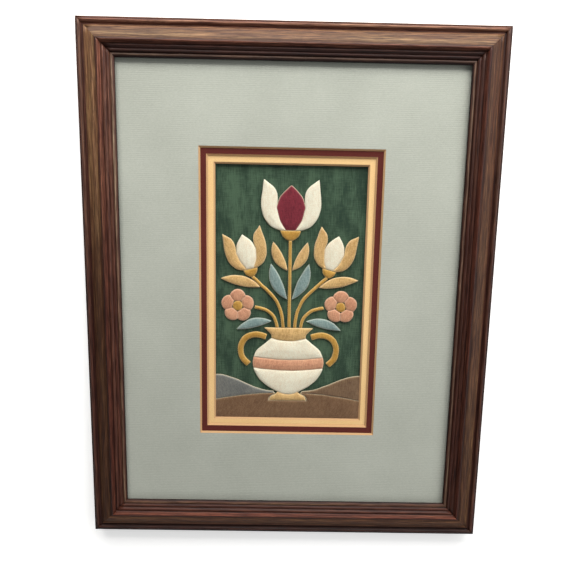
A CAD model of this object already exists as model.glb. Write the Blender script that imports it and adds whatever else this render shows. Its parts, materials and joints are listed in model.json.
import json
import math
import random

import bmesh
import bpy
import numpy as np
from mathutils import Matrix, Vector, noise


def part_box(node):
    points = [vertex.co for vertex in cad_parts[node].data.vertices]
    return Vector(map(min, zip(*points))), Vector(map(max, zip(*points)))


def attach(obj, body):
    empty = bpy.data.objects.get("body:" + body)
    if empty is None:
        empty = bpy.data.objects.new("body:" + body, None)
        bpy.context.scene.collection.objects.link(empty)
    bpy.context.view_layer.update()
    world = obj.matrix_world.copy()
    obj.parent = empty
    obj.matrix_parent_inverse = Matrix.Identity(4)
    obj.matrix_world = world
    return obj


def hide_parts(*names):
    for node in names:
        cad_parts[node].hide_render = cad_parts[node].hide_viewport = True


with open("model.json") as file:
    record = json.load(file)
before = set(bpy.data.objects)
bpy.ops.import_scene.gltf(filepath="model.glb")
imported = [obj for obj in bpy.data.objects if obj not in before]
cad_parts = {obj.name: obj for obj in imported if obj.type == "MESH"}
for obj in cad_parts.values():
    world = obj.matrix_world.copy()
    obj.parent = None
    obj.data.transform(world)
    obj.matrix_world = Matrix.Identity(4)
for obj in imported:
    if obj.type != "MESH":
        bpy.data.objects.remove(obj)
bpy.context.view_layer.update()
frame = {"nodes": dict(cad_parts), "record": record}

MM = 0.001


# The backing board closes the frame behind the picture. It is raw grey-brown board, cut to the rabbet
# and left unpainted, with short pressed fibres showing in its face.
BOARD_FIBRE = 2.2 * MM
BOARD_BLOTCH = 38.0 * MM
BOARD_RELIEF = 0.12 * MM


class Signal:
    """One socket of a material's nodes. Arithmetic on signals and numbers adds Math nodes."""

    def __init__(self, socket):
        self.socket = socket

    def node(self, kind, settings=None, sockets=None, output=0):
        """Add a node: its settings are set first, then its sockets take values or signals."""
        made = self.socket.id_data.nodes.new(kind)
        for name, value in (settings or {}).items():
            if name == "stops":
                ramp = made.color_ramp
                ramp.elements.remove(ramp.elements[1])
                ramp.elements[0].position = value[0][0]
                ramp.elements[0].color = value[0][1]
                for place, colour in value[1:]:
                    ramp.elements.new(place).color = colour
            else:
                setattr(made, name, value)
        for name, value in (sockets or {}).items():
            if isinstance(value, Signal):
                made.id_data.links.new(value.socket, made.inputs[name])
            else:
                made.inputs[name].default_value = value
        return Signal(made.outputs[output])

    def maths(self, operation, first, second):
        return self.node("ShaderNodeMath", {"operation": operation}, {0: first, 1: second})

    def __add__(self, other):
        return self.maths("ADD", self, other)

    def __sub__(self, other):
        return self.maths("SUBTRACT", self, other)

    def __rsub__(self, other):
        return self.maths("SUBTRACT", other, self)

    def __mul__(self, other):
        return self.maths("MULTIPLY", self, other)

    def __truediv__(self, other):
        return self.maths("DIVIDE", self, other)

    __radd__ = __add__
    __rmul__ = __mul__

    def sine(self):
        return self.maths("SINE", self, 0.0)

    def ramp(self, low, high):
        """0 below low, 1 above high, and soft between."""
        sockets = {0: self, 1: low, 2: high, 3: 0.0, 4: 1.0}
        return self.node("ShaderNodeMapRange", {"interpolation_type": "SMOOTHSTEP"}, sockets)

    def mix(self, low, high):
        """A colour from low to high as this signal goes from 0 to 1."""
        return self.node("ShaderNodeMix", {"data_type": "RGBA"}, {0: self, 6: low, 7: high}, 2)

    def times(self, tint):
        """This colour multiplied by another."""
        settings = {"data_type": "RGBA", "blend_type": "MULTIPLY"}
        return self.node("ShaderNodeMix", settings, {0: 1.0, 6: self, 7: tint}, 2)

    def noise(self, size, stretch=(1.0, 1.0, 1.0), detail=3.0, roughness=0.55):
        """Soft noise with features about size across, read at this vector signal."""
        scale = tuple(1.0 / (size * share) for share in stretch)
        placed = self.node("ShaderNodeVectorMath", {"operation": "MULTIPLY"}, {0: self, 1: scale})
        sockets = {"Vector": placed, "Scale": 1.0, "Detail": detail, "Roughness": roughness}
        return placed.node("ShaderNodeTexNoise", None, sockets)


def tone(red, green, blue):
    """A colour as a screen shows it, 0 to 255, made linear for a shader by the sRGB curve."""
    shares = [level / 255.0 for level in (red, green, blue)]
    linear = [((share + 0.055) / 1.055) ** 2.4 if share > 0.04045 else share / 12.92 for share in shares]
    return (*linear, 1.0)


def new_finish(name, roughness, specular=0.5):
    """A material with a Principled shader. Returns it, its shader and a signal of Object coordinates."""
    material = bpy.data.materials.new(name)
    material.use_nodes = True
    shader = material.node_tree.nodes["Principled BSDF"]
    shader.inputs["Roughness"].default_value = roughness
    shader.inputs["Specular IOR Level"].default_value = specular
    coordinates = material.node_tree.nodes.new("ShaderNodeTexCoord")
    return material, shader, Signal(coordinates.outputs["Object"])


def feed(shader, **signals):
    """Link signals to a shader's sockets; a word's underscore stands for a space."""
    for name, signal in signals.items():
        shader.id_data.links.new(signal.socket, shader.inputs[name.replace("_", " ")])


def relief(height, depth):
    """A normal from a height signal whose 0 to 1 is depth metres."""
    return height.node("ShaderNodeBump", None, {"Height": height, "Strength": 1.0, "Distance": depth})


def wear(node_name, material):
    """Give a CAD node its finished material."""
    node = frame["nodes"][node_name]
    node.data.materials.clear()
    node.data.materials.append(material)


raw_board, shader, place = new_finish("raw_board", 0.92, 0.2)
fibres = place.noise(BOARD_FIBRE, (3.0, 0.7, 1.0), 4.0)
blotches = place.noise(BOARD_BLOTCH)
board_tone = (fibres * 0.6 + blotches * 0.4).ramp(0.3, 0.7).mix(tone(128, 112, 92), tone(168, 152, 128))
feed(shader, Base_Color=board_tone, Normal=relief(fibres, BOARD_RELIEF))
wear("backing_board", raw_board)


# The ground cloth is dark green plain-weave cotton, stretched flat over the board. Its dye is mottled in
# soft upright streaks, and the cloth lies in a faint ripple.
GROUND_CELL = 2.0 * MM
CLOTH_BODY = 0.5 * MM
GROUND_RIPPLE = 0.1 * MM
RIPPLE_REACH = 14.0 * MM
CRINKLE_REACH = 5.0 * MM
GROUND_TURN = 0.02
WEAVE_PITCH = 0.48 * MM
WEAVE_RELIEF = 0.16 * MM
MOTTLE_SIZE = 16.0 * MM


def add_piece(name, bm, material, node_names=()):
    """Turn a finished bmesh into a piece that rides on the frame and stands for CAD nodes."""
    mesh = bpy.data.meshes.new(name)
    bm.to_mesh(mesh)
    bm.free()
    mesh.materials.append(material)
    piece = bpy.data.objects.new(name, mesh)
    bpy.context.scene.collection.objects.link(piece)
    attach(piece, "root")
    if node_names:
        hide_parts(*node_names)
    return piece


def lay_weave(bm, turn):
    """A UV map in millimetres along the cloth's threads, which lie turned by turn radians."""
    weave = bm.loops.layers.uv.new("weave")
    across = Vector((math.cos(turn), math.sin(turn)))
    upright = Vector((-math.sin(turn), math.cos(turn)))
    for face in bm.faces:
        for loop in face.loops:
            spot = loop.vert.co.xy
            loop[weave].uv = (spot.dot(across) / MM, spot.dot(upright) / MM)


def cotton(name, dark, light, fold=None, mottle=0.35, slub_length=5.0, slub_depth=0.9):
    """Plain-weave cotton between two tones: slubby threads both ways, a softer mottling, and a paler
    fold where the edge is turned under, fading out over the first millimetre."""
    material, shader, place = new_finish(name, 0.88, 0.25)
    threads = place.node("ShaderNodeUVMap", {"uv_map": "weave"})
    split = threads.node("ShaderNodeSeparateXYZ", None, {0: threads})
    along = Signal(split.socket.node.outputs["Y"])
    beat = 2.0 * math.pi * MM / WEAVE_PITCH
    woven = (split * beat).sine() * (along * beat).sine()
    warp_slub = threads.noise(1.0, (0.75, slub_length, 1.0), 2.0)
    weft_slub = threads.noise(1.0, (slub_length * 0.8, 0.7, 1.0), 2.0)
    patchy = place.noise(MOTTLE_SIZE, (0.7, 1.6, 1.0))
    share = ((warp_slub - 0.5) * 1.5 + (weft_slub - 0.5)) * slub_depth + (patchy - 0.5) * mottle * 2.0
    share = share + 0.5 + woven * 0.08
    dyed = share.ramp(0.1, 0.9).mix(dark, light)
    if fold:
        rim = place.node("ShaderNodeAttribute", {"attribute_name": "rim"}, None, "Fac")
        worn = (1.0 - rim.ramp(0.1, 1.3)) * (0.35 + weft_slub * 0.5)
        dyed = worn.mix(dyed, fold)
    feed(shader, Base_Color=dyed)
    height = woven * 0.5 + (warp_slub + weft_slub) * 0.9
    feed(shader, Normal=relief(height, WEAVE_RELIEF))
    shader.inputs["Sheen Weight"].default_value = 0.15
    shader.inputs["Sheen Roughness"].default_value = 0.5
    return material


low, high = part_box("ground_cloth")
size = high - low
ground = bmesh.new()
columns = round(size.x / GROUND_CELL)
rows = round(size.y / GROUND_CELL)
bmesh.ops.create_grid(ground, x_segments=columns, y_segments=rows, size=0.5)
bmesh.ops.scale(ground, vec=(size.x, size.y, 1.0), verts=ground.verts)
bmesh.ops.translate(ground, vec=(low + high) / 2.0, verts=ground.verts)
for vertex in ground.verts:
    swell = noise.noise(vertex.co / RIPPLE_REACH) + 0.5 * noise.noise(vertex.co / CRINKLE_REACH)
    vertex.co.z += GROUND_RIPPLE * swell
lay_weave(ground, GROUND_TURN)
bmesh.ops.solidify(ground, geom=ground.faces[:], thickness=CLOTH_BODY)
bmesh.ops.recalc_face_normals(ground, faces=ground.faces)
green_cotton = cotton("green_cotton", tone(39, 62, 47), tone(75, 99, 77), None, 1.0, 12.0, 0.8)
ground_piece = add_piece("ground_cloth_sheet", ground, green_cotton, ["ground_cloth"])
ground_piece.data.shade_smooth()


# The patches are cotton pieces, each padded, its edges turned under and sewn down side by side, so that
# soft grooves run between them. Every one is built on the outline of its solid.
TURNED_EDGE = 0.22 * MM
PATCH_SEAT = 0.3 * MM
FOLD_HEIGHT = 0.5 * MM
ROUND_OVER = 1.7 * MM
ROUND_RISE = 0.8 * MM
CROWN_REACH = 5.0 * MM
CELL = 0.62 * MM
PUCKER_PITCH = 2.9 * MM
PUCKER = 0.3 * MM
PUCKER_REACH = 1.6 * MM
UNEVEN_REACH = 6.0 * MM
LUMP = 0.16 * MM
LUMP_REACH = 8.0 * MM
DIMPLE = 0.07 * MM
DIMPLE_REACH = 3.0 * MM
PLAIN_CROWN = 1.0 * MM
CORNER_TURN = math.radians(42.0)
CREASE_TURN = math.radians(60.0)
MAT_SHY = 4.0 * MM
MAT_TUCK = 1.0 * MM
TUCKED_RISE = 0.72
SEAM_FILL = 0.19 * MM
HAND_WANDER = 0.22 * MM
WANDER_REACH = 7.0 * MM
WEAVE_SWING = 0.5
WINDOW_REACH = 100.0 * MM
mat_corners = [vertex.co for vertex in frame["nodes"]["mat_inner"].data.vertices]
window_edge = [corner for corner in mat_corners if abs(corner.x) < WINDOW_REACH]
window_side = min(abs(spot.x) for spot in window_edge)
window_top = min(spot.y for spot in window_edge if spot.y > 0.0)
window_foot = max(spot.y for spot in window_edge if spot.y < 0.0)


def silhouette(node_name):
    """The corner points of a patch's outline in order, read from the wall of its solid."""
    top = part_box(node_name)[1].z - TURNED_EDGE
    bm = bmesh.new()
    bm.from_mesh(frame["nodes"][node_name].data)
    bmesh.ops.remove_doubles(bm, verts=bm.verts, dist=0.01 * MM)
    stray = [vertex for vertex in bm.verts if abs(vertex.co.z - top) > 0.03 * MM]
    bmesh.ops.delete(bm, geom=stray, context="VERTS")
    bm.verts.ensure_lookup_table()
    start = bm.verts[0]
    points = [start.co.xy.copy()]
    edge = start.link_edges[0]
    vertex = edge.other_vert(start)
    while vertex is not start:
        points.append(vertex.co.xy.copy())
        edge = next(other for other in vertex.link_edges if other is not edge)
        vertex = edge.other_vert(vertex)
    bm.free()
    area = sum(a.cross(b) for a, b in zip(points, points[1:] + points[:1]))
    return points if area > 0.0 else points[::-1]


def cut_by_hand(before, spot, after):
    """A point of an outline, let out to meet the next patch and wandering as hand-cut cloth does."""
    heading = (after - before).normalized()
    outward = Vector((heading.y, -heading.x))
    at = Vector((spot.x, spot.y, 0.0)) / WANDER_REACH
    wander = Vector((noise.noise(at), noise.noise(at + Vector((0.0, 0.0, 9.0)))))
    return spot + outward * SEAM_FILL + wander * HAND_WANDER


def drawn_mesh(curve):
    """The mesh that a curve draws. The object that held the curve is gone afterwards."""
    holder = bpy.data.objects.new(curve.name, curve)
    bpy.context.scene.collection.objects.link(holder)
    bpy.context.view_layer.update()
    drawn = holder.evaluated_get(bpy.context.evaluated_depsgraph_get())
    mesh = bpy.data.meshes.new_from_object(drawn)
    bpy.data.objects.remove(holder)
    return mesh


def soft_outline(node_name):
    """The same outline with its round stretches drawn fine and its corners kept."""
    points = silhouette(node_name)
    curve = bpy.data.curves.new("outline", "CURVE")
    curve.dimensions = "2D"
    curve.fill_mode = "NONE"
    curve.resolution_u = 4
    spline = curve.splines.new("BEZIER")
    spline.bezier_points.add(len(points) - 1)
    for index, knot in enumerate(spline.bezier_points):
        arriving = points[index] - points[index - 1]
        leaving = points[(index + 1) % len(points)] - points[index]
        corner = arriving.angle(leaving) > CORNER_TURN
        knot.co = (*points[index], 0.0)
        knot.handle_left_type = "VECTOR" if corner else "AUTO"
        knot.handle_right_type = knot.handle_left_type
    spline.use_cyclic_u = True
    mesh = drawn_mesh(curve)
    line = [vertex.co.xy.copy() for vertex in mesh.vertices]
    bpy.data.meshes.remove(mesh)
    return [cut_by_hand(*corner) for corner in zip(line[-1:] + line[:-1], line, line[1:] + line[:1])]


def nearest_on(outline, spots):
    """For each spot, its distance to the outline and how far along it the nearest place is."""
    starts = np.array([tuple(point) for point in outline])
    steps = np.roll(starts, -1, axis=0) - starts
    lengths = np.maximum(np.linalg.norm(steps, axis=1), 1e-9)
    gone = np.concatenate([[0.0], np.cumsum(lengths)[:-1]])
    reach = spots[:, None, :] - starts[None, :, :]
    share = np.clip((reach * steps).sum(2) / lengths**2, 0.0, 1.0)
    miss = np.linalg.norm(reach - share[:, :, None] * steps, axis=2)
    best = miss.argmin(1)
    rows_of = np.arange(len(spots))
    return miss[rows_of, best], gone[best] + share[rows_of, best] * lengths[best]


def pad_patch(node_name, material, crown, turn):
    """Build one padded patch: the flat outline is drawn up, cut into cells and crowned."""
    outline = soft_outline(node_name)
    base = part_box(node_name)[0].z
    bm = bmesh.new()
    rim = bm.verts.layers.float.new("rim")
    corners = [bm.verts.new((*point, base - PATCH_SEAT)) for point in outline]
    face = bm.faces.new(corners)
    drawn = bmesh.ops.extrude_face_region(bm, geom=[face])["geom"]
    lifted = [item for item in drawn if isinstance(item, bmesh.types.BMVert)]
    bmesh.ops.translate(bm, vec=(0.0, 0.0, PATCH_SEAT + FOLD_HEIGHT), verts=lifted)
    geom = drawn
    xs = [point.x for point in outline]
    ys = [point.y for point in outline]
    for axis, values in ((0, xs), (1, ys)):
        normal = Vector((1.0, 0.0, 0.0)) if axis == 0 else Vector((0.0, 1.0, 0.0))
        first = math.ceil(min(values) / CELL + 0.2)
        last = math.floor(max(values) / CELL - 0.2)
        for line in range(first, last + 1):
            cut = bmesh.ops.bisect_plane(
                bm, geom=geom, dist=0.002 * MM, plane_co=normal * line * CELL, plane_no=normal
            )
            geom = cut["geom"]
    top_faces = {item for item in geom if isinstance(item, bmesh.types.BMFace)}
    top_verts = list({vertex for face in top_faces for vertex in face.verts})
    spots = np.array([tuple(vertex.co.xy) for vertex in top_verts])
    inward, gone = nearest_on(outline, spots)
    near = np.clip(inward / ROUND_OVER, 0.0, 1.0)
    rise = ROUND_RISE * np.sqrt(1.0 - (1.0 - near) ** 2)
    rise += crown * (1.0 - np.exp(-inward / CROWN_REACH))
    uneven = np.array([noise.noise(Vector((*spot, 0.0)) / UNEVEN_REACH) for spot in spots])
    pucker = PUCKER * (0.5 + 0.5 * np.sin(gone * 2.0 * math.pi / PUCKER_PITCH + uneven * 3.0))
    rise -= pucker * (0.7 + uneven) * np.exp(-inward / PUCKER_REACH) * near
    room = np.minimum(window_side - np.abs(spots[:, 0]), window_top - spots[:, 1])
    room = np.minimum(room, spots[:, 1] - window_foot)
    free = np.clip((room + MAT_TUCK) / MAT_SHY, 0.0, 1.0)
    for vertex, up, share, depth in zip(top_verts, rise, free, near):
        lump = noise.noise(vertex.co / LUMP_REACH) * LUMP
        lump += noise.noise(vertex.co / DIMPLE_REACH) * DIMPLE
        vertex.co.z += up * (TUCKED_RISE + (1.0 - TUCKED_RISE) * share) + lump * depth * share
    for vertex, depth in zip(top_verts, inward):
        vertex[rim] = depth / MM
    bmesh.ops.triangulate(bm, faces=[face for face in bm.faces if len(face.verts) > 4])
    bmesh.ops.recalc_face_normals(bm, faces=bm.faces)
    lay_weave(bm, turn)
    piece = add_piece(node_name + "_patch", bm, material, [node_name])
    piece.data.shade_smooth()
    piece.data.set_sharp_from_angle(angle=CREASE_TURN)
    return outline


# Each dye: the cloth's darker threads, its lighter threads, and its worn folds.
dyes = {
    "ivory_cotton": ((244, 225, 199), (255, 247, 228), (254, 246, 226)),
    "tan_cotton": ((198, 152, 94), (234, 192, 133), (244, 212, 164)),
    "salmon_cotton": ((199, 134, 104), (230, 170, 137), (240, 194, 166)),
    "slate_blue_cotton": ((116, 140, 141), (156, 173, 170), (190, 199, 192)),
    "crimson_cotton": ((104, 24, 40), (140, 42, 58), (168, 80, 90)),
    "gold_cotton": ((180, 129, 50), (211, 160, 78), (230, 190, 118)),
    "brown_cotton": ((108, 76, 52), (138, 103, 75), (160, 130, 102)),
    "taupe_cotton": ((108, 80, 60), (138, 108, 82), (160, 134, 108)),
    "slate_cotton": ((105, 105, 104), (136, 133, 128), (164, 161, 154)),
}
cottons = {name: cotton(name, *(tone(*level) for level in levels)) for name, levels in dyes.items()}
slot_of = {part["node"]: part["material_slot"] for part in frame["record"]["subparts"]}
patch_names = sorted(name for name, slot in slot_of.items() if slot in cottons)
crown_of = {"urn": 1.5 * MM, "tulip": 1.3 * MM, "mound": 0.4 * MM, "hill": 0.4 * MM}
random.seed(11)
outlines = {}
for name in patch_names:
    slot = slot_of[name]
    crown = crown_of.get(name.split("_")[0], PLAIN_CROWN)
    turn = random.uniform(-WEAVE_SWING, WEAVE_SWING)
    outlines[name] = pad_patch(name, cottons[slot], crown, turn)


# The edges are sewn down by hand with short slanting stitches of cream thread, which bite the turned edge
# and go down into the ground just outside it.
STITCH_PITCH = 1.75 * MM
STITCH_REACH = 0.5 * MM
STITCH_RADIUS = 0.15 * MM
STITCH_BITE = 0.12 * MM
STITCH_DIVE = 0.85
STITCH_UNEVEN = 0.05 * MM
PLY = 0.5 * MM


def walk(outline, pitch):
    """Places evenly spaced round a closed outline, each with its heading."""
    left_over = 0.0
    for start, end in zip(outline, outline[1:] + outline[:1]):
        step = end - start
        length = step.length
        while left_over < length:
            yield start + step * (left_over / length), step.normalized()
            left_over += pitch
        left_over -= length


def sewn_round(node_name):
    """All the stitches round one patch, as one mesh."""
    bm = bmesh.new()
    edge_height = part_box(node_name)[0].z + FOLD_HEIGHT
    for spot, heading in walk(outlines[node_name], STITCH_PITCH):
        inward = Vector((-heading.y, heading.x))
        slant = (inward + heading * random.uniform(0.2, 0.5)).normalized()
        middle = spot + inward * STITCH_BITE
        along = Vector((slant.x, slant.y, STITCH_DIVE)).normalized()
        turned = along.to_track_quat("X", "Z").to_matrix().to_4x4()
        sized = Matrix.Diagonal((STITCH_REACH, STITCH_RADIUS, STITCH_RADIUS, 1.0))
        height = edge_height + random.uniform(0.0, STITCH_UNEVEN)
        placed = Matrix.Translation((*middle, height)) @ turned @ sized
        bmesh.ops.create_uvsphere(bm, u_segments=6, v_segments=4, radius=1.0, matrix=placed)
    mesh = bpy.data.meshes.new("stitches")
    bm.to_mesh(mesh)
    bm.free()
    return mesh


stitches = bmesh.new()
for name in patch_names:
    sewn = sewn_round(name)
    stitches.from_mesh(sewn)
    bpy.data.meshes.remove(sewn)
thread_finish, shader, place = new_finish("cream_thread", 0.7, 0.3)
ply = place.noise(PLY)
feed(shader, Base_Color=ply.mix(tone(206, 188, 156), tone(240, 228, 204)))
stitch_piece = add_piece("edge_stitches", stitches, thread_finish)
stitch_piece.data.shade_smooth()


# A cream thread is couched in the groove round the mound, each hill and the crimson petal: it is laid
# along the edge and held down by the same fine stitches.
COUCHED_RADIUS = 0.21 * MM
COUCHED_OUT = 0.2 * MM
COUCHED_HEIGHT = 0.45 * MM
COUCHED_STEP = 0.8 * MM
COUCHED_WANDER = 0.05 * MM
COUCHED_WANDER_REACH = 2.5 * MM


def couched_thread(name, outline, height):
    """A fine tube laid round an outline, just outside it."""
    curve = bpy.data.curves.new(name, "CURVE")
    curve.dimensions = "3D"
    curve.bevel_depth = COUCHED_RADIUS
    curve.bevel_resolution = 2
    spots = list(walk(outline, COUCHED_STEP))
    spline = curve.splines.new("POLY")
    spline.points.add(len(spots) - 1)
    for point, (spot, heading) in zip(spline.points, spots):
        wander = noise.noise(Vector((spot.x, spot.y, 0.0)) / COUCHED_WANDER_REACH) * COUCHED_WANDER
        outside = spot - Vector((-heading.y, heading.x)) * (COUCHED_OUT + wander)
        point.co = (outside.x, outside.y, height, 1.0)
    spline.use_cyclic_u = True
    mesh = drawn_mesh(curve)
    bm = bmesh.new()
    bm.from_mesh(mesh)
    bpy.data.meshes.remove(mesh)
    bmesh.ops.remove_doubles(bm, verts=bm.verts, dist=0.001 * MM)
    piece = add_piece(name, bm, thread_finish)
    piece.data.shade_smooth()


for name in ("mound", "hill_left", "hill_right", "tulip_centre_middle"):
    couched_thread(name + "_thread", outlines[name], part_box(name)[0].z + COUCHED_HEIGHT)


# Three mats lie over the cloth, each board with a window cut at 45 degrees, so that its cream core shows
# as a bevel. The outer one is faced with sage laid paper, the next with maroon, the inner with peach.
LAID_PITCH = 1.6 * MM
LAID_SWAY = 26.0 * MM
LAID_FADE = 9.0 * MM
PAPER_FIBRE = 0.9 * MM
PAPER_CLOUD = 60.0 * MM
PAPER_RELIEF = 0.12 * MM
CORE_PULP = 0.7 * MM


def mat_board(name, dark, light, laid, core):
    """Paper-faced board: fibrous face, with laid lines if it has them, and its core where it is cut."""
    material, shader, place = new_finish(name, 0.93, 0.2)
    height = place.node("ShaderNodeSeparateXYZ", None, {0: place}, 1)
    fibre = place.noise(PAPER_FIBRE, (2.2, 0.8, 1.0), 4.0, 0.7)
    cloudy = place.noise(PAPER_CLOUD)
    sway = place.noise(LAID_SWAY, (4.0, 1.0, 1.0)) * 1.2
    lines = (height * (2.0 * math.pi / LAID_PITCH) + sway).sine() * 0.5 + 0.5
    faint = place.noise(LAID_FADE, (3.0, 0.6, 1.0)).ramp(0.35, 0.65)
    laid_lines = (lines - 0.5) * faint * laid
    share = (fibre - 0.5) * 0.8 + (cloudy - 0.5) * 0.5 + 0.5 + laid_lines
    face = share.ramp(0.1, 0.9).mix(dark, light)
    facing = place.node("ShaderNodeNewGeometry", None, None, "True Normal")
    upright = facing.node("ShaderNodeSeparateXYZ", None, {0: facing}, 2)
    cut = upright.ramp(0.97, 0.85)
    pulp = place.noise(CORE_PULP, (1.0, 1.0, 0.3), 3.0).mix(*core)
    feed(shader, Base_Color=cut.mix(face, pulp))
    feed(shader, Normal=relief(fibre * 0.35 + laid_lines * 0.9, PAPER_RELIEF))
    return material


cream_core = (tone(196, 150, 108), tone(212, 170, 128))
wear("mat_inner", mat_board("peach_mat", tone(236, 188, 130), tone(248, 210, 155), 0.0, cream_core))
wear("mat_middle", mat_board("maroon_mat", tone(81, 28, 25), tone(102, 43, 36), 0.0, cream_core))
wear("mat_outer", mat_board("sage_mat", tone(167, 167, 159), tone(193, 193, 185), 0.32, cream_core))


# The glass is one plain clear sheet. It lies on the mats and is held down by the frame's lip, and only its
# front face mirrors.
pane = bpy.data.materials.new("picture_glass")
pane.use_nodes = True
pane.node_tree.nodes.clear()
output = pane.node_tree.nodes.new("ShaderNodeOutputMaterial")
clear = Signal(pane.node_tree.nodes.new("ShaderNodeBsdfTransparent").outputs[0])
clear.socket.node.inputs["Color"].default_value = (0.965, 0.975, 0.965, 1.0)
mirror = clear.node("ShaderNodeBsdfGlossy", None, {"Roughness": 0.02})
edge_on = clear.node("ShaderNodeFresnel", None, {"IOR": 1.45})
far_side = clear.node("ShaderNodeNewGeometry", None, None, "Backfacing")
share = edge_on * (1.0 - far_side)
shown = clear.node("ShaderNodeMixShader", None, {0: share, 1: clear, 2: mirror})
pane.node_tree.links.new(shown.socket, output.inputs["Surface"])
wear("glass", pane)


# The frame is one reeded hardwood moulding, cut in four and mitred. It is stained walnut over a reddish
# ground, rubbed back to golden brown on its high places, and lacquered to a satin shine.
RAIL_EASE = 0.1 * MM
RAIL_STEP = 7.0 * MM
HAND_WEAR = 0.06 * MM
WEAR_REACH = 19.0 * MM
WORN_ABOVE = 10.0 * MM
MITRE_CLOSE = 0.17 * MM
MITRE_FACING = 0.6
EASED_TURN = math.radians(35.0)
ARRIS_TURN = math.radians(32.0)
RAIL_INNER = 30.8 * MM
WIPE_PLACES = (5.2 * MM, 6.8 * MM, 18.5 * MM, 22.8 * MM)
WOOD_RELIEF = 0.12 * MM
CHIP_SIZE = 1.1 * MM


def walnut(name, rail_name, axis, low_end, high_end):
    """Stained wood for a rail along axis (0 or 1). The stain was wiped by hand, so it is thinner or thicker
    on the bead, the band, the ridge and the reeds, and differs between the rail's two ends."""
    material, shader, place = new_finish(name, 0.5, 0.22)
    low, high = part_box(rail_name)
    across = 1 - axis
    split = place.node("ShaderNodeSeparateXYZ", None, {0: place})
    run = Signal(split.socket.node.outputs[across])
    inward = run - low[across] if low[across] < 0.0 and high[across] < 0.0 else high[across] - run
    share = inward / RAIL_INNER
    toward_high = Signal(split.socket.node.outputs[axis]).ramp(-30.0 * MM, 150.0 * MM)

    def streaks(width, length, detail):
        stretch = [1.0, 1.0, 1.0]
        stretch[axis] = length / width
        return place.noise(width, stretch, detail, 0.6)

    def wiped(tints):
        stops = [(at / RAIL_INNER, (*tint, 1.0)) for at, tint in zip(WIPE_PLACES, tints)]
        return share.node("ShaderNodeValToRGB", {"stops": stops}, {0: share})

    gathered = tone(26, 10, 6)
    side = tone(40, 20, 14)
    dark = tone(53, 26, 18)
    plain = tone(63, 34, 26)
    ruddy = tone(83, 45, 34)
    dusty = tone(83, 55, 44)
    golden = tone(82, 53, 34)
    thin = tone(96, 66, 46)
    bare = tone(96, 73, 60)
    section = (
        # millimetres inward from the outer edge, and how the stain lies there
        (0.0, side),
        (1.0, plain),
        (1.5, gathered),
        (1.9, plain),
        (3.1, dusty),
        (5.1, dark),
        (6.2, plain),
        (7.0, thin),
        (9.5, golden),
        (12.0, golden),
        (14.5, thin),
        (16.0, golden),
        (17.8, dark),
        (19.3, ruddy),
        (20.3, ruddy),
        (21.3, dark),
        (22.5, plain),
        (26.0, plain),
        (27.2, dark),
        (28.8, bare),
        (30.0, dark),
        (30.8, gathered),
    )
    stops = [(inward_mm * MM / RAIL_INNER, stain) for inward_mm, stain in section]
    bands = share.node("ShaderNodeValToRGB", {"stops": stops}, {0: share})
    grain = streaks(0.4 * MM, 13.0 * MM, 2.0)
    figure = streaks(0.7 * MM, 28.0 * MM, 1.5)
    drift = streaks(3.4 * MM, 90.0 * MM, 2.0)
    pores = streaks(0.4 * MM, 8.0 * MM, 1.0)
    figured = figure.ramp(0.32, 0.68).mix((0.52, 0.4, 0.38, 1.0), (1.6, 1.7, 1.66, 1.0))
    grained = grain.ramp(0.3, 0.7).mix((0.6, 0.56, 0.56, 1.0), (1.46, 1.5, 1.5, 1.0))
    shaded = drift.ramp(0.3, 0.7).mix((0.94, 0.87, 0.87, 1.0), (1.0, 1.08, 1.0, 1.0))
    stained = bands.times(toward_high.mix(wiped(low_end), wiped(high_end)))
    stained = stained.times(figured).times(grained).times(shaded)
    open_grain = pores.ramp(0.6, 0.7) * 0.6
    stained = open_grain.mix(stained, tone(26, 10, 8))
    chips = place.noise(CHIP_SIZE, (1.0, 1.0, 1.0), 1.0).ramp(0.79, 0.82) * 0.5
    feed(shader, Base_Color=chips.mix(stained, tone(176, 148, 126)))
    feed(shader, Roughness=0.4 + grain * 0.22)
    feed(shader, Normal=relief(grain * 0.5 + figure * 0.3 - open_grain * 0.5, WOOD_RELIEF))
    return material


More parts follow.
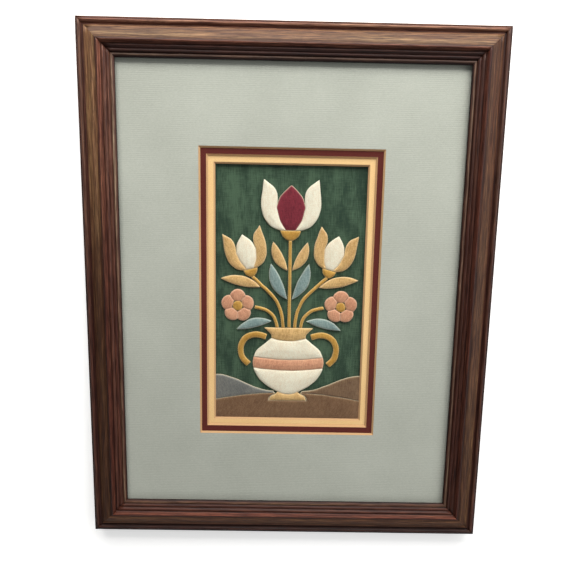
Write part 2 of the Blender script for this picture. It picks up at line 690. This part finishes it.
def finish_rail(rail_name, axis, low_end, high_end):
    """Build a rail over its solid: the same section with eased edges and slightly worn by hand."""
    bm = bmesh.new()
    bm.from_mesh(frame["nodes"][rail_name].data)
    bmesh.ops.remove_doubles(bm, verts=bm.verts, dist=0.01 * MM)
    bmesh.ops.dissolve_limit(bm, angle_limit=math.radians(1.0), verts=bm.verts, edges=bm.edges)
    mitres = [face for face in bm.faces if min(abs(face.normal.x), abs(face.normal.y)) > MITRE_FACING]
    ends = {edge for face in mitres for edge in face.edges}
    for vertex in {vertex for face in mitres for vertex in face.verts}:
        vertex.co[axis] += math.copysign(MITRE_CLOSE, vertex.co[axis])
    sharp = [edge for edge in bm.edges if edge not in ends and edge.calc_face_angle(0.0) > EASED_TURN]
    bmesh.ops.bevel(
        bm, geom=sharp, offset=RAIL_EASE, offset_type="OFFSET", segments=2, profile=0.5,
        affect="EDGES", clamp_overlap=True, material=-1,
    )
    low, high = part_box(rail_name)
    normal = Vector((1.0, 0.0, 0.0)) if axis == 0 else Vector((0.0, 1.0, 0.0))
    steps = int((high[axis] - low[axis]) / RAIL_STEP)
    for step in range(1, steps):
        spot = normal * (low[axis] + (high[axis] - low[axis]) * step / steps)
        geom = bm.verts[:] + bm.edges[:] + bm.faces[:]
        bmesh.ops.bisect_plane(bm, geom=geom, dist=0.001 * MM, plane_co=spot, plane_no=normal)
    for vertex in bm.verts:
        if vertex.co.z > WORN_ABOVE:
            vertex.co.z += HAND_WEAR * noise.noise(vertex.co / WEAR_REACH)
    bmesh.ops.triangulate(bm, faces=[face for face in bm.faces if len(face.verts) > 4])
    bmesh.ops.recalc_face_normals(bm, faces=bm.faces)
    stain = walnut(rail_name + "_walnut", rail_name, axis, low_end, high_end)
    rail = add_piece(rail_name + "_moulding", bm, stain, [rail_name])
    rail.data.shade_smooth()
    rail.data.set_sharp_from_angle(angle=ARRIS_TURN)


# How the stain was wiped, from rubbed nearly bare to left black. The thinner it lies, the paler and less red
# it is. Each set says how it lies on the bead, the band, the ridge and the reeds.
wiped_bare = (2.3, 2.5, 2.4)
wiped_thin = (1.7, 2.0, 2.1)
wiped_pale = (1.3, 1.5, 1.5)
wiped_once = (1.1, 1.1, 1.1)
as_laid = (1.0, 0.9, 0.8)
left_full = (0.8, 0.8, 0.8)
left_thick = (0.7, 0.6, 0.6)
left_dark = (0.5, 0.45, 0.45)
left_black = (0.35, 0.25, 0.25)
thin_top = (wiped_bare, wiped_once, wiped_pale, left_dark)
dark_foot = (left_black, left_thick, as_laid, as_laid)
finish_rail("rail_top", 0, thin_top, thin_top)
finish_rail("rail_bottom", 0, dark_foot, dark_foot)
dark_left = (left_thick, left_dark, left_dark, wiped_once)
golden_left = (wiped_once, wiped_thin, wiped_pale, wiped_thin)
finish_rail("rail_left", 1, dark_left, golden_left)
foot_right = (left_thick, left_full, left_dark, left_full)
head_right = (left_full, left_thick, left_thick, left_full)
finish_rail("rail_right", 1, foot_right, head_right)


# The stage: a plain near-white floor, soft light that falls from beyond the picture's top edge, and the
# camera above the frame where the photograph was taken. The glass doesn't mirror the two brightest lamps.
FLOOR_HALF = 4.0
FLOOR_MOTTLE = 0.6
FLOOR_GLOW = 0.35
floor_bm = bmesh.new()
bmesh.ops.create_grid(floor_bm, x_segments=1, y_segments=1, size=FLOOR_HALF)
floor_mesh = bpy.data.meshes.new("floor")
floor_bm.to_mesh(floor_mesh)
floor_bm.free()
floor = bpy.data.objects.new("floor", floor_mesh)
bpy.context.scene.collection.objects.link(floor)
floor_finish, shader, place = new_finish("floor_white", 0.9, 0.1)
feed(shader, Base_Color=place.noise(FLOOR_MOTTLE).mix(tone(246, 246, 244), tone(250, 250, 249)))
shader.inputs["Emission Color"].default_value = (1.0, 1.0, 1.0, 1.0)
shader.inputs["Emission Strength"].default_value = FLOOR_GLOW
floor.data.materials.append(floor_finish)


def soft_light(name, place, aim, width, height, power, colour=(1.0, 1.0, 1.0)):
    """A rectangular lamp at place, turned towards aim."""
    lamp = bpy.data.lights.new(name, "AREA")
    lamp.shape = "RECTANGLE"
    lamp.size = width
    lamp.size_y = height
    lamp.energy = power
    lamp.color = colour
    holder = bpy.data.objects.new(name, lamp)
    holder.location = place
    holder.rotation_euler = (Vector(aim) - Vector(place)).to_track_quat("-Z", "Y").to_euler()
    bpy.context.scene.collection.objects.link(holder)
    return holder


top_light = soft_light("top_light", (0.0, 0.9, 0.62), (0.0, 0.12, 0.0), 1.2, 0.5, 15.5, (1.0, 0.99, 0.97))
low_glow = soft_light("low_glow", (0.0, 0.95, 0.25), (0.0, 0.2, 0.0), 1.4, 0.3, 6.4, (1.0, 0.97, 0.93))
unmirrored = bpy.data.collections.new("unmirrored")
unmirrored.objects.link(frame["nodes"]["glass"])
unmirrored.collection_objects[0].light_linking.link_state = "EXCLUDE"
for bright_lamp in (top_light, low_glow):
    bright_lamp.light_linking.receiver_collection = unmirrored
soft_light("corner_light", (0.8, 0.75, 0.8), (0.0, 0.0, 0.0), 0.8, 0.5, 4.6)
soft_light("right_light", (1.3, 0.0, 0.8), (0.0, 0.0, 0.0), 1.2, 0.6, 6.6)
soft_light("foot_light", (0.0, -1.3, 0.95), (0.0, -0.1, 0.0), 1.4, 0.7, 4.8)
world = bpy.data.worlds.new("studio")
world.use_nodes = True
world.node_tree.nodes["Background"].inputs["Color"].default_value = (0.97, 0.98, 1.0, 1.0)
world.node_tree.nodes["Background"].inputs["Strength"].default_value = 0.13
bpy.context.scene.world = world
bpy.context.scene.view_settings.view_transform = "Standard"

PHOTO_SIDE_PX = 580.0
FOCAL_PX = 470.0
camera = bpy.data.cameras.new("camera")
camera.sensor_width = 36.0
camera.lens = camera.sensor_width * FOCAL_PX / PHOTO_SIDE_PX
camera.clip_start = 0.01
camera_holder = bpy.data.objects.new("camera", camera)
camera_holder.location = (-3.64 * MM, 60.41 * MM, 414.0 * MM)
camera_holder.rotation_euler = (math.radians(-7.937), math.radians(-0.410), math.radians(1.121))
bpy.context.scene.collection.objects.link(camera_holder)
bpy.context.scene.camera = camera_holder
